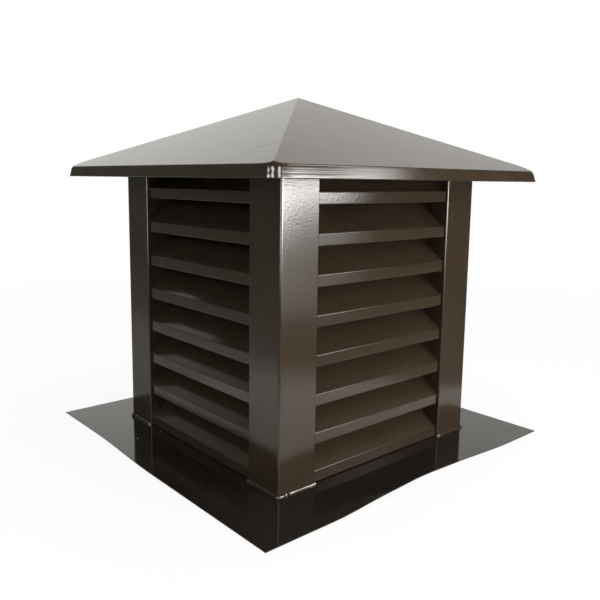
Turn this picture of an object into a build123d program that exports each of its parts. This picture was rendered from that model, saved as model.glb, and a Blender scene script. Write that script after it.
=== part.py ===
"""Louvred chimney cap of folded, painted sheet: a four-sided roof on folded corner posts, banks of
sloping slats between the posts on all four sides, and a flat base plate round the flue opening.

Lengths are in millimetres and angles in degrees. The base plate lies on the XY plane, the flue's
axis is Z, and the front is the side that faces -Y.
"""

from build123d import *
import os
from math import cos, radians, sin, tan

# Sheet
sheet = 1.0
seat_gap = 0.2  # room left between sheets that lie on each other
overrun = 20.0  # how far a cutting shape runs past what it cuts

# Body, measured over the outer faces of the posts
body_width = 400.0

# Base plate
plate_side = 574.0
flue_opening = 290.0
flue_corner_radius = 10.0

# Roof
roof_side = 545.0
eave_height = 413.6  # underside of the hem above the ground
fascia_height = 16.0  # from the hem up to where slope and fascia would meet
roof_rise = 113.0  # from there up to the peak
eave_radius = 4.0
roof_corner_radius = 16.0
roof_hem = 9.0
hem_radius = 2.0  # outside radius of the hem's fold

# Corner posts
post_leg = 64.5
post_fold_radius = 3.0  # outside radius of the fold between the legs
post_return = 46.0
return_fold_radius = 1.5  # outside radius of the folds beside the slats
roof_tab_length = 26.0
roof_tab_width = 22.0

# Sealing beads at the feet of the posts
bead_width = 2.6
bead_height = 3.6
bead_overhang = 2.0
bead_shoulder_shares = (0.6, 0.8)  # of its width and height

# Louvre slats
slat_count = 8
slat_pitch = 54.2
slat_floor_gap = 0.5  # under the lowest lip
slat_setback = 4.0  # of the lips behind the faces of the posts
slat_fold_radius = 1.5  # outside radius of a slat's folds
lip_height = 16.2
lip_hem = 7.0
lip_relief = 1.2  # by which each end of the lip stops short of the blade
blade_slope = 40.0
blade_overlap = 3.0  # by which a blade's top stands above the next lip's lower edge
tab_height = 15.0
tab_length_share = 0.5  # of the blade's length
tab_corner_cut = 4.0

# Turn of each side about Z, from the front
side_turns = {"front": 0, "right": 90, "back": 180, "left": 270}
corner_turns = {"front_left": 0, "front_right": 90, "back_right": 180, "back_left": 270}

# Sizes that follow
half_body = body_width / 2
half_roof = roof_side / 2
fascia_top = eave_height + fascia_height
peak_height = fascia_top + roof_rise
roof_fall = roof_rise / half_roof
sheet_plumb = sheet * (1 + roof_fall**2) ** 0.5  # sloping sheet measured straight down
roof_corner_centre = half_roof - roof_corner_radius
post_edge = half_body - post_leg
slat_half = post_edge - seat_gap
lip_plane = half_body - slat_setback
blade_rise = slat_pitch - lip_height + blade_overlap
blade_run = blade_rise / tan(radians(blade_slope))
blade_length = blade_rise / sin(radians(blade_slope))

os.makedirs("parts", exist_ok=True)


def underside(reach):
    """Height at which a sheet seated under the roof lies, at a given distance from the middle."""
    return peak_height - sheet_plumb - seat_gap - roof_fall * reach


# Base plate
with BuildPart() as base_plate:
    with BuildSketch():
        Rectangle(plate_side, plate_side)
        RectangleRounded(flue_opening, flue_opening, flue_corner_radius, mode=Mode.SUBTRACT)
    extrude(amount=sheet)
base_plate.part.label = "base_plate"
export_step(base_plate.part, "parts/base_plate.step")

# Roof: the section of one side, from the peak down the slope, over the eave and round the hem
with BuildSketch(Plane.YZ) as roof_section:
    with BuildLine():
        FilletPolyline(
            (0, peak_height),
            (-half_roof, fascia_top),
            (-half_roof, eave_height),
            (-half_roof + roof_hem, eave_height),
            radius=(eave_radius, hem_radius),
        )
        offset(amount=sheet, side=Side.LEFT)
    make_face()

# One side of the roof, mitred along the hips and cut square beside the rounded corners
with BuildPart() as roof_facet:
    extrude(roof_section.sketch, amount=half_roof, both=True)
    with BuildSketch():
        with BuildLine():
            Polyline(
                (0, 0),
                (roof_corner_centre, -roof_corner_centre),
                (roof_corner_centre, -half_roof - overrun),
                (-roof_corner_centre, -half_roof - overrun),
                (-roof_corner_centre, -roof_corner_centre),
                close=True,
            )
        make_face()
    extrude(amount=peak_height + overrun, mode=Mode.INTERSECT)

# One rounded corner: the outer end of the same section, turned about the corner's upright axis
with BuildPart() as roof_corner:
    with BuildSketch(Plane.YZ.offset(roof_corner_centre)):
        add(roof_section.sketch_local)
        with Locations((-half_roof, peak_height)):
            Rectangle(
                roof_corner_radius,
                peak_height * 2,
                align=(Align.MIN, Align.CENTER),
                mode=Mode.INTERSECT,
            )
    revolve(axis=Axis((roof_corner_centre, -roof_corner_centre, 0), (0, 0, 1)), revolution_arc=90)

with BuildPart() as roof:
    with PolarLocations(0, len(side_turns)):
        add(roof_facet.part)
        add(roof_corner.part)
roof.part.label = "roof"
export_step(roof.part, "parts/roof.step")

# Space under the roof that trims the posts' tops
with BuildPart() as under_roof:
    with BuildSketch():
        Rectangle(body_width, body_width)
    extrude(amount=peak_height)
    for turn in side_turns.values():
        with BuildSketch(Plane.YZ.rotated((0, 0, turn))):
            with BuildLine():
                Polyline(
                    (0, underside(0)),
                    (-half_roof, underside(half_roof)),
                    (-half_roof, peak_height + overrun),
                    (0, peak_height + overrun),
                    close=True,
                )
            make_face()
        extrude(amount=half_roof, both=True, mode=Mode.SUBTRACT)

# Corner post: return, leg, leg and return in one folded section, with a tab under each roof slope
with BuildPart() as post:
    with BuildSketch(Plane.XY.offset(sheet)):
        with BuildLine():
            FilletPolyline(
                (-post_edge, -half_body + post_return),
                (-post_edge, -half_body),
                (-half_body, -half_body),
                (-half_body, -post_edge),
                (-half_body + post_return, -post_edge),
                radius=(return_fold_radius, post_fold_radius, return_fold_radius),
            )
            offset(amount=sheet, side=Side.RIGHT)
        make_face()
    extrude(amount=peak_height)
    add(under_roof.part, mode=Mode.INTERSECT)
    with BuildSketch(Plane.YZ.offset(-post_edge - return_fold_radius)):
        with BuildLine():
            Polyline(
                (-half_body, underside(half_body)),
                (-half_body + roof_tab_length, underside(half_body - roof_tab_length)),
                (-half_body + roof_tab_length, underside(half_body - roof_tab_length) - sheet_plumb),
                (-half_body, underside(half_body) - sheet_plumb),
                close=True,
            )
        make_face()
    front_tab = extrude(amount=-roof_tab_width)
    mirror(front_tab, about=Plane.XZ.rotated((0, 0, 45)))

for corner, turn in corner_turns.items():
    with BuildPart() as placed_post:
        with Locations(Rotation(0, 0, turn)):
            add(post.part)
    placed_post.part.label = f"post_{corner}"
    export_step(placed_post.part, f"parts/post_{corner}.step")

# Sealing bead round the outside of a post's foot
with BuildPart() as bead:
    with BuildLine(Plane.XY.offset(sheet)) as bead_path:
        FilletPolyline(
            (-post_edge + bead_overhang, -half_body),
            (-half_body, -half_body),
            (-half_body, -post_edge + bead_overhang),
            radius=post_fold_radius,
        )
    with BuildSketch(Plane.YZ.offset(-post_edge + bead_overhang)):
        with BuildLine():
            Polyline(
                (-half_body, sheet + bead_height),
                (-half_body, sheet),
                (-half_body - bead_width, sheet),
                (
                    -half_body - bead_width * bead_shoulder_shares[0],
                    sheet + bead_height * bead_shoulder_shares[1],
                ),
                close=True,
            )
        make_face()
    sweep(path=bead_path.line)

for corner, turn in corner_turns.items():
    with BuildPart() as placed_bead:
        with Locations(Rotation(0, 0, turn)):
            add(bead.part)
    placed_bead.part.label = f"bead_{corner}"
    export_step(placed_bead.part, f"parts/bead_{corner}.step")

# Louvre slat at the ground line: hem, lip and blade in one folded section, and a tab at each end
blade_plane = Plane(
    origin=(0, -lip_plane, lip_height),
    x_dir=(1, 0, 0),
    z_dir=(0, -sin(radians(blade_slope)), cos(radians(blade_slope))),
)
with BuildPart() as slat:
    with BuildSketch(Plane.YZ):
        with BuildLine():
            FilletPolyline(
                (-lip_plane + lip_hem, 0),
                (-lip_plane, 0),
                (-lip_plane, lip_height),
                (-lip_plane + blade_run, lip_height + blade_rise),
                radius=slat_fold_radius,
            )
            offset(amount=sheet, side=Side.RIGHT)
        make_face()
    extrude(amount=slat_half, both=True)
    with Locations((-slat_half, -lip_plane, 0), (slat_half, -lip_plane, 0)):
        Box(
            lip_relief * 2,
            lip_hem * 2,
            lip_height - slat_fold_radius,
            align=(Align.CENTER, Align.CENTER, Align.MIN),
            mode=Mode.SUBTRACT,
        )
    with BuildSketch(blade_plane.offset(-sheet)):
        for end in (-slat_half, slat_half - sheet):
            with Locations((end, blade_length / 2)):
                Rectangle(sheet, blade_length * tab_length_share, align=(Align.MIN, Align.CENTER))
    extrude(amount=tab_height + sheet)
    tab_tops = slat.edges().filter_by(Axis.X).filter_by(lambda edge: edge.length < sheet * 2)
    tab_tops = tab_tops.sort_by(Axis((0, 0, 0), blade_plane.z_dir))[-4:]
    chamfer(tab_tops, length=tab_corner_cut)

lowest_lip = sheet + slat_floor_gap
for side, turn in side_turns.items():
    for number in range(slat_count):
        with BuildPart() as placed_slat:
            with Locations(Location((0, 0, lowest_lip + number * slat_pitch), (0, 0, turn))):
                add(slat.part)
        name = f"{side}_slat_{slat_count - number}"
        placed_slat.part.label = name
        export_step(placed_slat.part, f"parts/{name}.step")
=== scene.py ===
"""Looks of the louvred chimney cap: dark brown gloss paint on folded sheet, on a pale studio floor."""

import math
from typing import NamedTuple

import bpy
import numpy as np
from mathutils import Matrix, Vector

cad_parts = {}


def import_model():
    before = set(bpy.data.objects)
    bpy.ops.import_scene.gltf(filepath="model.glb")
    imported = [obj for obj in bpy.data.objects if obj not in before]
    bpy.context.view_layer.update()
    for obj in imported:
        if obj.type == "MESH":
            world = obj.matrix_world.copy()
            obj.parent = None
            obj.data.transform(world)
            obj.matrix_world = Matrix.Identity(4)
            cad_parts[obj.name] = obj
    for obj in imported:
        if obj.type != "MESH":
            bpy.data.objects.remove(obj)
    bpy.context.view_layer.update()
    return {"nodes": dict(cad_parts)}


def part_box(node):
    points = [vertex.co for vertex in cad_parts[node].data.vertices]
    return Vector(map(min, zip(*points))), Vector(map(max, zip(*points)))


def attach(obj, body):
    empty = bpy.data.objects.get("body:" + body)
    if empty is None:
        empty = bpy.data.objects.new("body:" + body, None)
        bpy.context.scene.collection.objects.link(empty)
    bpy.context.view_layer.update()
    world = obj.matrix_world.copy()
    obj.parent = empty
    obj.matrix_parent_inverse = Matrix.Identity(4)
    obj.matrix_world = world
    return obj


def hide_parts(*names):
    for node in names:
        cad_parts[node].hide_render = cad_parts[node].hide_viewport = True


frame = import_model()
nodes = frame["nodes"]
scene = bpy.context.scene
scene.view_settings.view_transform = "Standard"


def node_box(name):
    """Lowest and highest corners of a CAD node in metres, rounded to the micrometre."""
    return np.round([list(corner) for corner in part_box(name)], 6).tolist()


# Camera: place in metres, angles in degrees, focal length in pixels of the 600 pixel frame
CAMERA_PLACE = (-0.7207, -0.8250, 0.4126)
CAMERA_AZIMUTH = -40.959
CAMERA_DIP = 8.414
CAMERA_ROLL = -0.729
FRAME_PIXELS = 600.0
FOCAL_PIXELS = 663.76
AXIS_PIXEL = (293.74, 277.84)
SENSOR_MM = 36.0

# Colours, linear, with a last 1 for the colour sockets
BROWN = (0.048, 0.0335, 0.021, 1.0)
BROWN_DEEP = (0.041, 0.0275, 0.0175, 1.0)
PLATE_BROWN = (0.0190, 0.0146, 0.0122, 1.0)
PLATE_DEEP = (0.0160, 0.0123, 0.0102, 1.0)
PALE_SPECK = (0.46, 0.44, 0.40, 1.0)
PALE_FLOOR = (0.84, 0.84, 0.83, 1.0)
DIM_FLOOR = (0.27, 0.26, 0.245, 1.0)
DARK_FLOOR = (0.10, 0.09, 0.08, 1.0)
WHITE = (1.0, 1.0, 1.0, 1.0)
SKY_WHITE = (0.985, 0.99, 0.945, 1.0)
HORIZON_GREY = (0.95, 0.97, 0.88, 1.0)
KEY_WHITE = (1.0, 0.99, 0.97, 1.0)

# Sizes of the part, in metres, taken from the frame where a node's box shows them
plate_box = node_box("base_plate")
post_box = node_box("post_front_left")
roof_box = node_box("roof")
top_slat_box = node_box("front_slat_1")
second_slat_box = node_box("front_slat_2")
SHEET = plate_box[1][2]
HALF_PLATE = plate_box[1][0]
HALF_FLUE = 0.145
HALF_BODY = -post_box[0][0]
POST_EDGE = -post_box[1][0]
POST_FOLD = 0.0030
HALF_ROOF = roof_box[1][0]
EAVE_HEIGHT = roof_box[0][2]
FASCIA_HEIGHT = 0.016
FASCIA_TOP = EAVE_HEIGHT + FASCIA_HEIGHT
ROOF_RISE = roof_box[1][2] - FASCIA_TOP
ROOF_HEM = 0.009
SLAT_COUNT = sum(name.startswith("front_slat_") for name in nodes)
SLAT_PITCH = top_slat_box[0][2] - second_slat_box[0][2]
SLAT_END = top_slat_box[1][0]
LIP_PLANE = -top_slat_box[0][1]
LIP_HEIGHT = 0.0162
LIP_TOP = node_box(f"front_slat_{SLAT_COUNT}")[0][2] + LIP_HEIGHT
BLADE_SLOPE = math.radians(40.0)

# Studio: directions, levels and the strips' distance from the middle
UP = (0.0, 0.0, 1.0)
LEFT = (-1.0, 0.0, 0.0)
BACK = (0.0, 1.0, 0.0)
RIGHT_FRONT = (0.82, -0.57, 0.0)
SKY_WAY = (0.551, 0.787, 0.276)
SKY_RIGHT = (0.75, -0.34, 0.50)
SKY_BRIGHT = 1.03
SKY_DIM = 0.30
WORLD_LOW = 0.16
WORLD_HIGH = 0.64
FLOOR_WHITE_SHARE = 0.90
HORIZON_LEVEL = 0.14
HORIZON_DARK = 0.06
KEY_LEVEL = 20.5
KEY_FOOT_LEVEL = 1.7
STRIP_REACH = 2.6


class RoofCorner(NamedTuple):
    """Shape of one corner of the roof, lengths in metres."""

    radius: float  # in plan, at the eave
    bend: float  # radius of the eave bend there
    wider: float  # share by which the bend is wider than that
    taper: float  # share of the inset that the plan's radius loses
    flare: float  # outwards, at the foot of the fascia
    offset: float  # of the flare along the eave


# Corners of the roof: three domed, and the front one with a sharper knuckle
DOMED = RoofCorner(radius=0.022, bend=0.018, wider=0.5, taper=1.0, flare=0.0042, offset=0.0)
KNUCKLED = RoofCorner(radius=0.018, bend=0.0085, wider=0.0, taper=2.6, flare=0.0003, offset=0.008)

# Swells of each bead: place along it from its right-hand end, reach, and size as a share of the bead's own
BEAD_SWELLS = {
    "front_left": [(0.0555, 0.0035, 0.75), (0.003, 0.009, 0.45), (0.128, 0.003, 0.5)],
    "front_right": [(0.1275, 0.003, 0.6)],
    "back_right": [(0.020, 0.004, 0.3)],
    "back_left": [(0.003, 0.0025, 0.5), (0.060, 0.003, 0.6), (0.045, 0.002, 0.15)],
}


def camera():
    """Camera at the photograph's place, turned by azimuth, dip and roll."""
    azimuth, dip, roll = (math.radians(a) for a in (CAMERA_AZIMUTH, CAMERA_DIP, CAMERA_ROLL))
    forward = -np.array(
        [math.sin(azimuth) * math.cos(dip), -math.cos(azimuth) * math.cos(dip), math.sin(dip)]
    )
    right = np.cross(forward, UP)
    right /= np.linalg.norm(right)
    down = np.cross(forward, right)
    right, down = (
        math.cos(roll) * right + math.sin(roll) * down,
        -math.sin(roll) * right + math.cos(roll) * down,
    )
    data = bpy.data.cameras.new("camera")
    data.sensor_width = SENSOR_MM
    data.lens = FOCAL_PIXELS / FRAME_PIXELS * SENSOR_MM
    data.shift_x = (FRAME_PIXELS / 2 - AXIS_PIXEL[0]) / FRAME_PIXELS
    data.shift_y = (AXIS_PIXEL[1] - FRAME_PIXELS / 2) / FRAME_PIXELS
    data.clip_start = 0.01
    data.clip_end = 100.0
    obj = bpy.data.objects.new("camera", data)
    turn = np.stack([right, -down, -forward], axis=1)
    obj.matrix_world = Matrix.Translation(CAMERA_PLACE) @ Matrix(turn.tolist()).to_4x4()
    scene.collection.objects.link(obj)
    scene.camera = obj


class Shader:
    """A node tree with short calls that add nodes and links."""

    def __init__(self, owner):
        owner.use_nodes = True
        self.tree = owner.node_tree
        self.tree.nodes.clear()

    def node(self, kind, **values):
        """Adds a node. A key such as at_0 sets the input of that number, a key that names a property sets
        that, and any other sets the input of its name. A value that is an output socket is linked, and other
        values are set on the socket."""
        made = self.tree.nodes.new("ShaderNode" + kind)
        for key, value in values.items():
            if key.startswith("at_"):
                target = made.inputs[int(key[3:])]
            elif hasattr(made, key):
                setattr(made, key, value)
                continue
            else:
                target = made.inputs[key.replace("_", " ")]
            if isinstance(value, bpy.types.NodeSocket):
                self.tree.links.new(value, target)
            else:
                target.default_value = value
        return made

    def math(self, operation, first, second=0.0):
        """Output of a math node on two numbers or sockets."""
        return self.node("Math", operation=operation, at_0=first, at_1=second).outputs[0]

    def product(self, first, *others):
        """Output of numbers or sockets multiplied in turn."""
        for other in others:
            first = self.math("MULTIPLY", first, other)
        return first

    def ramp(self, value, low, high, to_low=0.0, to_high=1.0, smooth=True):
        """Output of a range mapping from low..high to to_low..to_high, held at its ends. The functions below
        keep most ramps' numbers together, each under one name."""
        kind = "SMOOTHSTEP" if smooth else "LINEAR"
        made = self.node("MapRange", interpolation_type=kind, Value=value)
        for key, number in (("From Min", low), ("From Max", high), ("To Min", to_low), ("To Max", to_high)):
            made.inputs[key].default_value = number
        return made.outputs[0]

    def blend(self, share, first, second):
        """Output of a mix of two numbers or sockets by a share."""
        return self.node("Mix", at_0=share, at_2=first, at_3=second).outputs[0]

    def tint(self, share, first, second):
        """Output of a mix of two colours by a share."""
        return self.node("MixRGB", at_0=share, at_1=first, at_2=second).outputs[0]

    def vector(self, operation, first, second=(0.0, 0.0, 0.0)):
        """Output of a vector math node: a number for a length, distance or dot product, or else a vector."""
        made = self.node("VectorMath", operation=operation, at_0=first, at_1=second)
        return made.outputs["Value" if operation in ("LENGTH", "DISTANCE", "DOT_PRODUCT") else "Vector"]

    def along(self, vector, direction):
        """Output of the dot product of a vector socket and a fixed direction."""
        return self.vector("DOT_PRODUCT", vector, direction)

    def place(self):
        """Output of the place on the object, in metres."""
        return self.node("TexCoord").outputs["Object"]

    def noise(self, place, scale, detail, roughness=0.5):
        """Output of a noise over a place."""
        made = self.node("TexNoise", Scale=scale, Detail=detail, Roughness=roughness, Vector=place)
        return made.outputs["Fac"]

    def bump(self, height, depth, normal=None):
        """Output of a normal with a relief of that depth in metres, on top of the normal given, if any."""
        made = self.node("Bump", Strength=1.0, Distance=depth, Height=height)
        if normal is not None:
            self.tree.links.new(normal, made.inputs["Normal"])
        return made.outputs[0]

    def surface(self, socket, kind="OutputMaterial"):
        """Joins a shader socket to the tree's output."""
        self.node(kind, Surface=socket)

    def glow(self, colour, strength):
        """Makes the surface glow in a colour at a strength."""
        self.surface(self.node("Emission", Color=colour, Strength=strength).outputs[0])


def new_shader(name):
    """A new material of that name, and its node tree."""
    material = bpy.data.materials.new(name)
    return material, Shader(material)


def world():
    """White where it is seen. Mirrored, it is white towards the back right, dim elsewhere, dimmer still far
    from there, and a little weaker at the right. As light it is strongest just above the horizon."""
    bright_back = (0.62, 0.92, SKY_DIM, SKY_BRIGHT)
    dimmer_far = (0.58, 0.65, 0.45, 1.0)
    weaker_right = (0.42, 0.56, 1.0, 0.86)
    light_below = (0.0, 0.22, WORLD_LOW, WORLD_HIGH)
    light_above = (0.32, 0.55, 1.0, 0.44)
    data = bpy.data.worlds.new("studio")
    scene.world = data
    shader = Shader(data)
    path = shader.node("LightPath").outputs
    way = shader.node("TexCoord").outputs["Generated"]
    toward = shader.along(way, SKY_WAY)
    mirrored = shader.product(
        shader.ramp(toward, *bright_back),
        shader.ramp(toward, *dimmer_far),
        shader.ramp(shader.along(way, SKY_RIGHT), *weaker_right),
    )
    up = shader.along(way, UP)
    light = shader.product(shader.ramp(up, *light_below), shader.ramp(up, *light_above))
    seen = shader.math("MAXIMUM", path["Is Camera Ray"], path["Is Transmission Ray"])
    strength = shader.blend(path["Is Glossy Ray"], light, mirrored)
    strength = shader.blend(seen, strength, 1.0)
    colour = shader.tint(path["Is Camera Ray"], SKY_WHITE, WHITE)
    back = shader.node("Background", Color=colour, Strength=strength)
    shader.surface(back.outputs[0], "OutputWorld")


def plain_mesh(name, points, faces):
    """An object made from points and faces, at the origin."""
    mesh = bpy.data.meshes.new(name)
    mesh.from_pydata(np.asarray(points).tolist(), [], faces if isinstance(faces, list) else faces.tolist())
    obj = bpy.data.objects.new(name, mesh)
    scene.collection.objects.link(obj)
    return obj


def floor():
    """Pale floor, near white to the camera and fully white far off. As light and mirrored, it is pale as far
    as a line at the left and a rounded edge at the front and right, dim beyond them, half dim behind, and
    dark at the right front."""
    reach, drop = 12.0, -0.0006
    white_far = (0.6, 2.2, FLOOR_WHITE_SHARE, 1.0)
    edge_offset = (0.02, 0.02, 0.0)
    rounded_edge = (0.56, 0.72, 0.02, 1.0)
    full_dark = 1.3
    edges = (
        (LEFT, (0.56, 0.63, 0.0, 1.0)),
        (BACK, (0.24, 0.36, 0.0, 0.62)),
        (RIGHT_FRONT, (0.48, 0.54, 0.0, full_dark)),
    )
    corners = np.array([(-1, -1, 0), (1, -1, 0), (1, 1, 0), (-1, 1, 0)]) * reach + (0, 0, drop)
    obj = plain_mesh("floor", corners, [(0, 1, 2, 3)])
    material, shader = new_shader("pale_floor")
    place = shader.place()
    direct = shader.node("LightPath").outputs["Is Camera Ray"]
    white = shader.product(shader.ramp(shader.vector("LENGTH", place), *white_far), direct)
    out = shader.vector("MULTIPLY", place, (1.0, -1.0, 0.0))
    out = shader.vector("MAXIMUM", shader.vector("ADD", out, edge_offset), (0.0, 0.0, 0.0))
    away = shader.ramp(shader.vector("LENGTH", out), *rounded_edge)
    for direction, edge in edges:
        away = shader.math("MAXIMUM", away, shader.ramp(shader.along(place, direction), *edge))
    away = shader.product(away, shader.math("SUBTRACT", 1.0, direct))
    colour = shader.tint(away, PALE_FLOOR, DIM_FLOOR)
    colour = shader.tint(shader.ramp(away, 1.0, full_dark), colour, DARK_FLOOR)
    matt = shader.node("BsdfDiffuse", Color=colour)
    glow = shader.node("Emission", Color=WHITE, Strength=1.0)
    mix = shader.node("MixShader", at_0=white, at_1=matt.outputs[0], at_2=glow.outputs[0])
    shader.surface(mix.outputs[0])
    obj.data.materials.append(material)


def card_points(turn, middle, width, low, high):
    """Corners of an upright card about a middle in plan, facing back along an azimuth of that turn."""
    half = np.array([math.cos(turn), math.sin(turn)]) * width / 2
    foot = np.array([middle - half, middle + half])
    lower = np.column_stack([foot, [low, low]])
    upper = np.column_stack([foot[::-1], [high, high]])
    return np.vstack([lower, upper])


def mirrored_only(obj):
    """Keeps a card out of every view but the mirrored one."""
    obj.visible_camera = False
    obj.visible_diffuse = False
    obj.visible_shadow = False
    obj.visible_transmission = False
    obj.visible_volume_scatter = False


def strip(name, azimuth, width, low, high, once, twice=0.0):
    """Upright bright strip that is only seen mirrored, with its levels when mirrored once and twice."""
    turn = math.radians(azimuth)
    middle = np.array([math.sin(turn), -math.cos(turn)]) * STRIP_REACH
    obj = plain_mesh(name, card_points(turn, middle, width, low, high), [(0, 1, 2, 3)])
    material, shader = new_shader(name)
    bounces = shader.node("LightPath").outputs["Glossy Depth"]
    shader.glow(WHITE, shader.ramp(bounces, 1.0, 2.0, once, twice))
    obj.data.materials.append(material)
    mirrored_only(obj)


def horizon():
    """Low dim wall all round, seen only mirrored: the room's dark horizon, darkest at the right front."""
    reach, low, high, count = 4.0, -0.01, 0.85, 96
    dark_start_share, dark_end_share = 0.45, 0.75
    turn = np.linspace(0.0, 2 * math.pi, count, endpoint=False)
    ring = np.column_stack([np.sin(turn) * reach, -np.cos(turn) * reach])
    points = np.vstack([np.column_stack([ring, np.full(count, z)]) for z in (low, high)])
    obj = plain_mesh("horizon", points, grid_faces(2, count, closed=True))
    material, shader = new_shader("horizon")
    right_front = shader.along(shader.place(), RIGHT_FRONT)
    dark = (dark_start_share * reach, dark_end_share * reach, HORIZON_LEVEL, HORIZON_DARK)
    shader.glow(HORIZON_GREY, shader.ramp(right_front, *dark))
    obj.data.materials.append(material)
    mirrored_only(obj)


def key_board():
    """Bright board at the front right. Its light grows as a power of the height, sooner towards the left, and
    its upper and right edges are soft. As mirrored, it is brighter at its left end, in a band to the right of
    that and along a crown, and dimmer at its foot. Mirrored twice, it is faint."""
    width, low, high = 1.02, 0.02, 0.475
    turn, middle = math.radians(42.0), np.array([0.302, -1.200])
    across = (math.cos(turn), math.sin(turn), 0.0)
    right_end = width / 2 + float(middle @ across[:2])
    slant_start, slant_share, slant_most, soft_edge = -0.27, 0.55, 0.08, 0.07
    rise_heights, rise_power = (0.05, 0.38), 5.8
    mirrored_twice = (1.0, 2.0, 1.0, 0.25)

    # Ramps across the board
    right_edge = (right_end - soft_edge, right_end, 1.0, 0.0)
    upper_side = (-0.30, -0.19, 0.045, 0.45)
    left_shine = (-0.40, -0.35, 1.5, 0.0)
    band_start, band_end = (-0.245, -0.225, 0.0, 0.35), (-0.20, -0.09, 1.0, 0.0)
    low_right_side = (-0.25, -0.23)

    # Ramps up the board
    upper_start, top_edge = (0.405, 0.412), (0.452, 0.474, 1.0, 0.0)
    shine_top = (0.400, 0.410, 1.0, 0.0)
    crown_start, crown_end = (0.368, 0.395), (0.402, 0.410, 0.34, 0.0)
    foot = (0.03, 0.12, 0.65, 1.0)
    low_right_foot = (0.12, 0.24, 0.55, 1.0)

    obj = plain_mesh("key_board", card_points(turn, middle, width, low, high), [(0, 1, 2, 3)])
    material, shader = new_shader("key_board")
    path = shader.node("LightPath").outputs
    place = shader.place()
    height = shader.along(place, UP)
    side = shader.along(place, across)
    slant = shader.product(shader.math("SUBTRACT", slant_start, side), slant_share)
    slant = shader.math("ADD", height, shader.math("MINIMUM", slant, slant_most))
    rise = shader.math("POWER", shader.ramp(slant, *rise_heights, smooth=False), rise_power)
    level = shader.product(
        shader.ramp(rise, 0.0, 1.0, KEY_FOOT_LEVEL, KEY_LEVEL, smooth=False),
        shader.blend(shader.ramp(height, *upper_start), 1.0, shader.ramp(side, *upper_side)),
        shader.ramp(height, *top_edge),
        shader.ramp(side, *right_edge),
    )
    band = shader.product(shader.ramp(side, *band_start), shader.ramp(side, *band_end))
    shine = shader.math("ADD", shader.ramp(side, *left_shine), band)
    shine = shader.product(shine, shader.ramp(height, *shine_top))
    crown = shader.product(shader.ramp(height, *crown_start), shader.ramp(height, *crown_end))
    shine = shader.product(
        shader.math("ADD", shine, 1.0),
        shader.ramp(height, *foot),
        shader.math("ADD", crown, 1.0),
        shader.blend(shader.ramp(side, *low_right_side), 1.0, shader.ramp(height, *low_right_foot)),
    )
    level = shader.product(
        level,
        shader.blend(path["Is Glossy Ray"], 1.0, shine),
        shader.ramp(path["Glossy Depth"], *mirrored_twice),
    )
    shader.glow(KEY_WHITE, level)
    obj.data.materials.append(material)
    obj.visible_camera = False


def softbox(name, place, target, width, height, radiance, colour):
    """Area light of a given radiance and colour, from a place towards a target, that is not seen mirrored."""
    data = bpy.data.lights.new(name, "AREA")
    data.shape = "RECTANGLE"
    data.size = width
    data.size_y = height
    data.energy = radiance * math.pi * width * height
    data.color = colour
    obj = bpy.data.objects.new(name, data)
    obj.location = place
    obj.rotation_euler = (Vector(target) - Vector(place)).to_track_quat("-Z", "Y").to_euler()
    obj.visible_glossy = False
    obj.visible_camera = False
    scene.collection.objects.link(obj)


def studio():
    """Key board at the front right, softboxes overhead, at the left, front and right, a dim horizon, and
    strips that the roof's corners, the slats' folds, the plate and the front post's fold mirror."""
    neutral, cool, warm = (1.0, 1.0, 1.0), (0.70, 0.92, 1.0), (1.0, 0.98, 0.95)
    key_board()
    softbox(
        "overhead", place=(0.0, -0.2, 2.3), target=(0.0, 0.0, 0.0),
        width=1.6, height=1.6, radiance=5.0, colour=neutral,
    )
    softbox(
        "left_fill", place=(-0.95, 0.05, 0.62), target=(-0.2, 0.0, 0.36),
        width=0.5, height=0.25, radiance=1.7, colour=cool,
    )
    softbox(
        "front_fill", place=(0.2, -1.7, 1.5), target=(0.0, 0.0, 0.25),
        width=1.4, height=0.8, radiance=1.2, colour=warm,
    )
    softbox(
        "right_fill", place=(0.75, -0.85, 0.62), target=(0.05, -0.2, 0.36),
        width=0.5, height=0.25, radiance=4.0, colour=warm,
    )
    horizon()
    for number, (azimuth, width) in enumerate(((-14.0, 0.60), (-53.0, 0.70), (-81.0, 0.40))):
        strip(f"strip_{number + 1}", azimuth, width, low=0.0, high=0.85, once=14.0)
    strip("high_strip_1", azimuth=35.7, width=0.30, low=0.95, high=1.60, once=16.0)
    strip("high_strip_2", azimuth=42.3, width=0.30, low=0.95, high=1.23, once=16.0, twice=4.5)
    strip("high_strip_3", azimuth=42.3, width=0.30, low=1.23, high=1.60, once=16.0)
    strip("front_strip", azimuth=-41.0, width=1.60, low=0.45, high=1.70, once=0.0, twice=9.0)


def paint(name, colour, deep, roughness, peel, marks=None, specks=None):
    """Gloss paint: slightly uneven colour and gloss, orange peel of a given depth and the slow waves of thin
    sheet. Marks add to the relief and specks to the colour."""
    cloud_scale, cloud_roughness, cloud_range = 9.0, 0.55, (0.3, 0.7)
    gloss_share, matt_share = 0.85, 1.2
    wave_scale, wave_depth, peel_scale = 7.0, 0.0003, 330.0
    material, shader = new_shader(name)
    place = shader.place()
    cloud = shader.noise(place, cloud_scale, detail=3.0, roughness=cloud_roughness)
    tint = shader.tint(cloud, colour, deep)
    if specks:
        tint = specks(shader, place, tint)
    gloss_range = (roughness * gloss_share, roughness * matt_share)
    gloss = shader.ramp(cloud, *cloud_range, *gloss_range, smooth=False)
    normal = shader.bump(shader.noise(place, wave_scale, detail=1.0), wave_depth)
    if marks:
        normal = marks(shader, place, normal)
    normal = shader.bump(shader.noise(place, peel_scale, detail=2.0), peel, normal)
    bsdf = shader.node("BsdfPrincipled", IOR=1.5, Base_Color=tint, Roughness=gloss, Normal=normal)
    shader.surface(bsdf.outputs[0])
    return material


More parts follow.
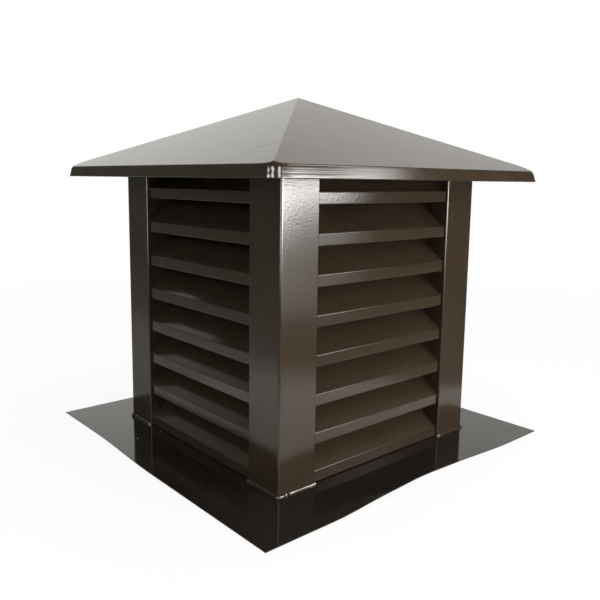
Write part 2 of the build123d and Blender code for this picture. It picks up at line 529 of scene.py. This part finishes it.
def roof_marks(shader, place, normal):
    """Drawn streaks along the fascia, small knocks at the front corner, and one faint crease on the left
    slope near the hip: part of a circle in plan."""
    streak_scales, streak_depth, streak_fade = (9.0, 9.0, 420.0), 0.00006, 0.004
    knock_place, knock_scale, knock_depth = (-0.2712, -0.2622, 0.4215), 300.0, 0.00028
    knock_fade = (0.006, 0.014, 1.0, 0.0)
    crease_middle, crease_radius, crease_way = (-0.1842, -0.1679, 0.0), 0.0368, (-0.804, -0.596, 0.0)
    crease_width, crease_ends, crease_depth = 0.0020, (0.030, 0.034), 0.0004

    drawn = shader.noise(shader.vector("MULTIPLY", place, streak_scales), 1.0, detail=2.0)
    on_fascia = shader.ramp(shader.along(place, UP), FASCIA_TOP - streak_fade, FASCIA_TOP, 1.0, 0.0)
    normal = shader.bump(shader.product(drawn, on_fascia), streak_depth, normal)

    near_corner = shader.ramp(shader.vector("DISTANCE", place, knock_place), *knock_fade)
    knocks = shader.product(shader.noise(place, knock_scale, detail=1.0), near_corner)
    normal = shader.bump(knocks, knock_depth, normal)

    plan = shader.vector("MULTIPLY", place, (1.0, 1.0, 0.0))
    off = shader.vector("SUBTRACT", plan, crease_middle)
    line = shader.math("ABSOLUTE", shader.math("SUBTRACT", shader.vector("LENGTH", off), crease_radius))
    crease = shader.product(
        shader.ramp(line, 0.0, crease_width, 1.0, 0.0),
        shader.ramp(shader.along(off, crease_way), *crease_ends),
    )
    return shader.bump(crease, crease_depth, normal)


def plate_specks(shader, place, tint):
    """Two small pale specks on the plate, near its left edge."""
    speck_edge = (0.0009, 0.0017, 1.0, 0.0)
    for speck in ((-0.2443, 0.0983, SHEET), (-0.1993, 0.1030, SHEET)):
        share = shader.ramp(shader.vector("DISTANCE", place, speck), *speck_edge)
        tint = shader.tint(share, tint, PALE_SPECK)
    return tint


def grid_faces(rows, columns, closed=False):
    """Quads of a grid stored row by row; closed joins the last column to the first."""
    row = np.arange(rows - 1)[:, None] * columns
    column = np.arange(columns if closed else columns - 1)[None, :]
    after = (column + 1) % columns
    quads = np.stack([row + column, row + after, row + columns + after, row + columns + column], axis=-1)
    return quads.reshape(-1, 4)


def piece(name, points, faces, material):
    """A smooth piece that rides on the part."""
    obj = plain_mesh(name, points, faces)
    obj.data.materials.append(material)
    obj.data.shade_smooth()
    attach(obj, "root")
    return obj


def thicken(obj, thickness):
    """Sheet thickness, added on the inside of the skin, with sharp rims along its open edges."""
    mesh = obj.data
    edge_of_corner = np.empty(len(mesh.loops), dtype=np.int32)
    mesh.loops.foreach_get("edge_index", edge_of_corner)
    mesh.edges.foreach_set("use_edge_sharp", np.bincount(edge_of_corner, minlength=len(mesh.edges)) == 1)
    solid = obj.modifiers.new("sheet", "SOLIDIFY")
    solid.thickness = thickness
    solid.offset = -1.0


def turned(points, quarters):
    """Points turned about the part's axis by a number of quarter turns."""
    x, y, z = np.moveaxis(points, -1, 0)
    for _ in range(quarters):
        x, y = -y, x
    return np.stack([x, y, z], axis=-1)


def roof_section(bend, wide, flare):
    """Insets from the eave and heights of the roof's section: from the peak down the slope, over the eave
    bend as part of an ellipse, down the fascia, round the hem's fold and in along the hem. Each has a row for
    each step and a column for each bend, with its width. The flare pushes the section outwards, as a power
    of the depth below the slope's foot."""
    tip, hem_radius, flare_power = 0.0004, 0.0012, 1.5
    bend_steps, fold_steps = 13, 6
    slope_shares = np.array(
        [1, 0.995, 0.985, 0.96, 0.9, 0.75, 0.6, 0.45, 0.3, 0.2, 0.13, 0.085, 0.06, 0.045, 0.034, 0.025, 0.018]
        + [0.013, 0.009, 0.006, 0.003, 0]
    )[:, None]
    fascia_shares = np.array([0.02, 0.06, 0.5, 0.94, 0.98, 1.0])[:, None]
    fall = ROOF_RISE / HALF_ROOF
    lean = math.pi / 2 - math.atan(fall)
    over = np.linspace(lean, 0, bend_steps)[1:, None]
    under = np.linspace(0, math.pi / 2, fold_steps)[1:, None]
    start = wide * (1 - math.cos(lean))
    fascia_top = FASCIA_TOP + fall * start - bend * math.sin(lean)
    fascia_foot = EAVE_HEIGHT + hem_radius
    zero = np.zeros_like(bend)
    slope = start + slope_shares * (HALF_ROOF - tip - start)
    inset = np.vstack(
        [
            slope,
            wide * (1 - np.cos(over)),
            zero * fascia_shares,
            hem_radius * (1 - np.cos(under)) + zero,
        ]
    )
    height = np.vstack(
        [
            FASCIA_TOP + fall * slope,
            fascia_top + bend * np.sin(over),
            fascia_top * (1 - fascia_shares) + fascia_foot * fascia_shares,
            fascia_foot - hem_radius * np.sin(under) + zero,
        ]
    )
    depth = np.clip((FASCIA_TOP - height) / (FASCIA_TOP - EAVE_HEIGHT), 0, 1)
    inset = np.vstack([inset - flare * depth**flare_power, zero + ROOF_HEM])
    height = np.vstack([height, zero + EAVE_HEIGHT])
    return inset, height


def roof_quarter(before, after):
    """Skin of one side of the roof and of the corner at its right end: the section carried along the side
    and round the corner. At each inset from the eave the corner's radius is smaller, down to a thin rounding
    along the hip. The bend swells and the fascia's foot flares outwards towards the corners before and after
    the side, as bell curves of the distance along the eave."""
    hip, most_radius_share, corner_steps = 0.0006, 0.8, 15
    bend_middle, bend_reach, flare_reach = 0.0020, 0.0125, 0.010
    gaps = np.array([0.003, 0.006, 0.009, 0.012, 0.016, 0.020, 0.026, 0.034, 0.046, 0.066, 0.10, 0.16])
    round_corner = np.linspace(0, math.pi / 2, corner_steps)
    begin, end = HALF_ROOF - before.radius, HALF_ROOF - after.radius
    share = np.concatenate([-1 + gaps / begin, [0.0], 1 - gaps[::-1] / end, np.ones(corner_steps)])
    turn = np.concatenate([np.zeros(2 * len(gaps) + 1), round_corner])
    corner = RoofCorner(*np.where(share < 0, np.array(before)[:, None], np.array(after)[:, None]))
    past_corner = corner.radius * math.pi / 4 + (HALF_ROOF - corner.radius) * (1 - abs(share))
    past_corner = np.where(share < 0, past_corner, -past_corner)
    past_corner = np.where(turn > 0, corner.radius * (turn - math.pi / 4), past_corner)
    near = np.exp(-((past_corner / bend_reach) ** 2))
    bend = bend_middle + (corner.bend - bend_middle) * near
    wide = bend * (1 + corner.wider * near)
    flare = corner.flare * np.exp(-(((past_corner - corner.offset) / flare_reach) ** 2))
    inset, height = roof_section(bend, wide, flare)
    half = HALF_ROOF - inset
    remaining = corner.radius - corner.taper * inset
    radius = np.maximum((remaining + np.sqrt(remaining**2 + hip**2)) / 2, hip)
    radius = np.minimum(radius, half * most_radius_share)
    radius[-1] = corner.radius - ROOF_HEM
    x = (half - radius) * share + radius * np.sin(turn)
    y = -(half - radius) - radius * np.cos(turn)
    return np.stack([x, y, height], axis=-1)


def build_roof(material):
    """Roof piece in place of the CAD roof: four sides, each turned to its place and joined to the next, with
    the front corner knuckled and the others domed."""
    corners = [KNUCKLED, DOMED, DOMED, DOMED, KNUCKLED]
    sides = [turned(roof_quarter(corners[side], corners[side + 1]), side) for side in range(4)]
    skin = np.concatenate(sides, axis=1)
    rows, columns = skin.shape[:2]
    faces = grid_faces(rows, columns, closed=True)[:, ::-1].tolist() + [list(range(columns))]
    obj = piece("roof_sheet", skin.reshape(-1, 3), faces, material)
    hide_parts("roof")
    thicken(obj, SHEET)


def smooth_step(value, low, high):
    """0 below low, 1 above high and smooth between."""
    share = np.clip((value - low) / (high - low), 0, 1)
    return share * share * (3 - 2 * share)


def bow(x, middle, reach):
    """Squared cosine along a line: 1 at the middle, 0 past the reach."""
    return np.cos(np.clip((x - middle) / reach, -1, 1) * math.pi / 2) ** 2


def build_plate(material):
    """Thin plate with the flue opening. It is flat under the body. Along the front edge squared cosines
    bow it up and draw it in, and the left edge is a little out of square; all grow with the distance
    outside the body."""
    clear, rim_steps, flue_steps = 0.2045, 36, 41
    right_bow, left_bow, crest = (0.050, 0.160), (-0.110, 0.080), (-0.045, 0.120)
    right_depth, left_depth, front_overhang, crest_lift = 0.0091, 0.0025, 0.0007, 0.0050
    left_slew, left_inset, right_inset, slew_start, slew_end = 0.0062, 0.0022, 0.0015, -0.16, 0.03
    rim = np.linspace(HALF_FLUE, HALF_PLATE, rim_steps)
    line = np.concatenate([-rim[::-1], np.linspace(-HALF_FLUE, HALF_FLUE, flue_steps)[1:-1], rim])
    x, y = np.meshgrid(line, line)
    out_front, out_left, out_right = (
        np.clip((distance - clear) / (HALF_PLATE - clear), 0, None) for distance in (-y, -x, x)
    )
    lift = crest_lift * bow(x, *crest) * out_front**2
    y = y + (right_depth * bow(x, *right_bow) + left_depth * bow(x, *left_bow) - front_overhang) * out_front
    slew = left_slew * smooth_step(-y, slew_start, slew_end) - left_inset
    x = x - out_left * slew - right_inset * out_right
    points = np.stack([x, y, SHEET + lift], axis=-1).reshape(-1, 3)
    faces = grid_faces(len(line), len(line))
    middle = points[faces].mean(axis=1)
    faces = faces[np.abs(middle[:, :2]).max(axis=1) > HALF_FLUE]
    obj = piece("plate_sheet", points, faces, material)
    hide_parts("base_plate")
    thicken(obj, SHEET)


def build_bead(corner, quarter, material, swells):
    """Hand-laid bead round a post's foot: a quarter round carried along the foot, with a width and height
    that wander as a sum of sines, swell in bell curves and taper at both ends. A wave is given as its
    number in the span and its size as a share."""
    overhang, width, height = 0.002, 0.0030, 0.0042
    taper_reach, thinnest = 0.003, 0.0001
    height_share, height_lag = 0.8, 17
    waves, wave_span = np.array([(31.0, 0.07), (67.0, 0.04), (143.0, 0.012), (317.0, 0.004)]), 3
    quarter_phase, wave_phase = 1.7, 2.1
    steps_along, steps_round = 240, 12
    leg = HALF_BODY - POST_EDGE + overhang - POST_FOLD
    arc = POST_FOLD * math.pi / 2
    length = 2 * leg + arc
    centre = HALF_BODY - POST_FOLD
    run = np.linspace(0, length, steps_along)
    turn = np.clip((run - leg) / arc, 0, 1) * math.pi / 2
    x = np.where(run < leg, -centre + leg - run, -centre)
    y = np.where(run > leg + arc, -centre + run - leg - arc, -centre)
    normal = np.stack([-np.sin(turn), -np.cos(turn)], axis=-1)
    base = np.stack([x, y], axis=-1) + normal * POST_FOLD
    phase = quarter * quarter_phase + np.arange(len(waves))[:, None] * wave_phase
    wander = (waves[:, 1:] * np.sin(waves[:, :1] * run * 2 * math.pi / wave_span + phase)).sum(axis=0)
    at, reach, size = np.array(swells).T[..., None]
    swell = (size * np.exp(-(((run - at) / reach) ** 2))).sum(axis=0)
    taper = np.clip(np.minimum(run, length - run) / taper_reach, 0, 1) ** 0.5
    wide = width * (1 + wander + swell) * taper + thinnest
    tall = height * (1 + height_share * np.roll(wander, height_lag) + swell) * taper + thinnest
    angle = np.linspace(0, math.pi / 2, steps_round)[:, None]
    plan = base[None] + normal[None] * (wide * np.cos(angle))[..., None]
    top = SHEET + tall * np.sin(angle)
    points = turned(np.concatenate([plan, top[..., None]], axis=-1), quarter)
    faces = grid_faces(*points.shape[:2])
    obj = piece(f"laid_bead_{corner}", points.reshape(-1, 3), faces, material)
    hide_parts(f"bead_{corner}")


def build_rivets(material):
    """Rivet heads on the slats' end tabs: a flattened dome turned about the rivet's axis, one on each tab, a
    little up or down the tab from slat to slat."""
    radius, head, rings, spokes = 0.0018, 0.0005, 6, 14
    tab_along, tab_above, sway_along, sway_above, sway_start = 0.038, 0.009, 0.0035, 0.002, 5
    ring = np.linspace(0, math.pi / 2, rings)[:, None]
    turn = np.linspace(0, 2 * math.pi, spokes, endpoint=False)[None, :]
    out = head * np.cos(ring) + 0 * turn
    dome_y, dome_z = radius * np.sin(ring) * np.cos(turn), radius * np.sin(ring) * np.sin(turn)
    end, number = (
        choice.reshape(-1, 1, 1) for choice in np.meshgrid((-1, 1), np.arange(SLAT_COUNT), indexing="ij")
    )
    sway = np.sin((number - sway_start) * math.pi / 2)
    along, above = tab_along + sway_along * sway, tab_above + sway_above * sway
    x = end * (SLAT_END - SHEET - out)
    y = -LIP_PLANE + along * math.cos(BLADE_SLOPE) - above * math.sin(BLADE_SLOPE)
    z = LIP_TOP + along * math.sin(BLADE_SLOPE) + above * math.cos(BLADE_SLOPE)
    y, z = y + dome_y, z + number * SLAT_PITCH + dome_z
    heads = np.stack([x, y, z], axis=-1).reshape(-1, 3)
    points = np.concatenate([turned(heads, side) for side in range(4)])
    start = np.arange(0, len(points), rings * spokes)
    faces = grid_faces(rings, spokes, closed=True)[None] + start[:, None, None]
    piece("rivet_heads", points, faces.reshape(-1, 4), material)


camera()
world()
floor()
studio()

plate_paint = paint(
    "plate_paint", PLATE_BROWN, PLATE_DEEP, roughness=0.08, peel=0.00001, specks=plate_specks
)
body_paint = paint("body_paint", BROWN, BROWN_DEEP, roughness=0.11, peel=0.00013)
roof_paint = paint("roof_paint", BROWN, BROWN_DEEP, roughness=0.12, peel=0.00001, marks=roof_marks)
bead_paint = paint("bead_paint", BROWN, BROWN_DEEP, roughness=0.08, peel=0.00002)

for node in nodes.values():
    node.data.materials.clear()
    node.data.materials.append(body_paint)

build_roof(roof_paint)
build_plate(plate_paint)
for quarter, (corner, swells) in enumerate(BEAD_SWELLS.items()):
    build_bead(corner, quarter, bead_paint, swells)
build_rivets(body_paint)
